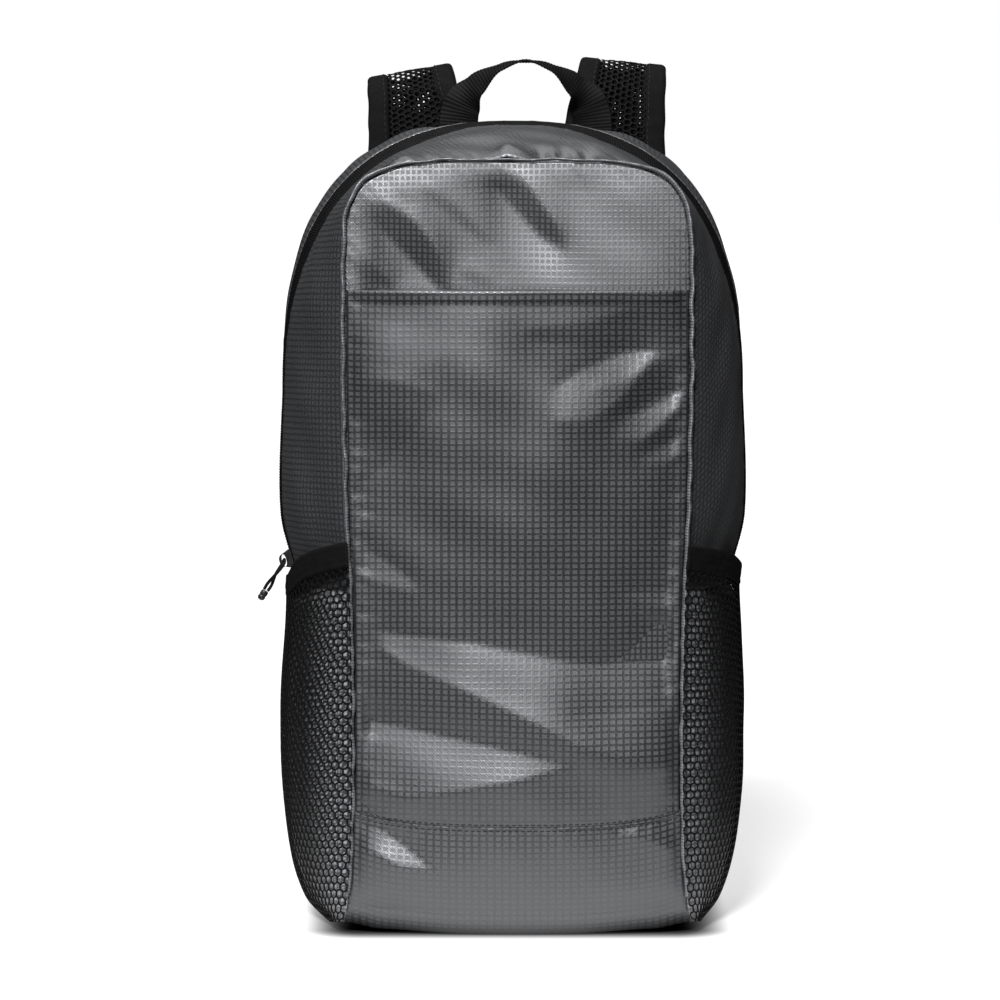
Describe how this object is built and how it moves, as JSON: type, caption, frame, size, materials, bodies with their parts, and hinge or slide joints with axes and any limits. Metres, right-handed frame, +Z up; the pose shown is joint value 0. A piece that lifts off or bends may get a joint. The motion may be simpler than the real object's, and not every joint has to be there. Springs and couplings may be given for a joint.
{
  "type": "lightweight backpack",
  "caption": "Upright ripstop day pack with a slip front pocket, netting side pockets, an arched zip, padded shoulder straps and a carry handle.",
  "frame": {"origin": "middle of the base panel, on the floor", "axes": "+Z up, -Y towards the front pocket, +X to the right as the front is seen"},
  "size_m": [0.2705, 0.2218, 0.4776],
  "materials": {
    "ripstop": "charcoal ripstop nylon with a satin sheen",
    "netting": "black knitted netting with open cells",
    "webbing": "black woven webbing and elastic binding",
    "spacer_mesh": "black open spacer mesh with bound edges",
    "zip_coil": "black reverse coil zip on woven tape",
    "plastic": "black moulded plastic",
    "slider_metal": "black enamelled die casting"
  },
  "bodies": {
    "root": {"front_panel": "ripstop", "front_pocket": "ripstop", "base_panel": "ripstop", "back_panel": "ripstop", "gusset_front": "ripstop", "gusset_rear": "ripstop", "front_seam_roll": "ripstop", "side_panel_left": "ripstop", "side_panel_right": "ripstop", "side_pocket_left": "netting", "side_pocket_right": "netting", "pocket_binding_left": "webbing", "pocket_binding_right": "webbing", "strap_tab_left": "webbing", "strap_tab_right": "webbing", "strap_webbing_left": "webbing", "strap_webbing_right": "webbing", "strap_anchor_left": "webbing", "strap_anchor_right": "webbing", "grab_handle": "webbing", "pull_cord": "webbing", "shoulder_strap_left": "spacer_mesh", "shoulder_strap_right": "spacer_mesh", "zip_tape": "zip_coil", "ladder_lock_left": "plastic", "ladder_lock_right": "plastic", "pull_tip": "plastic", "zip_slider": "slider_metal"}
  },
  "joints": []
}
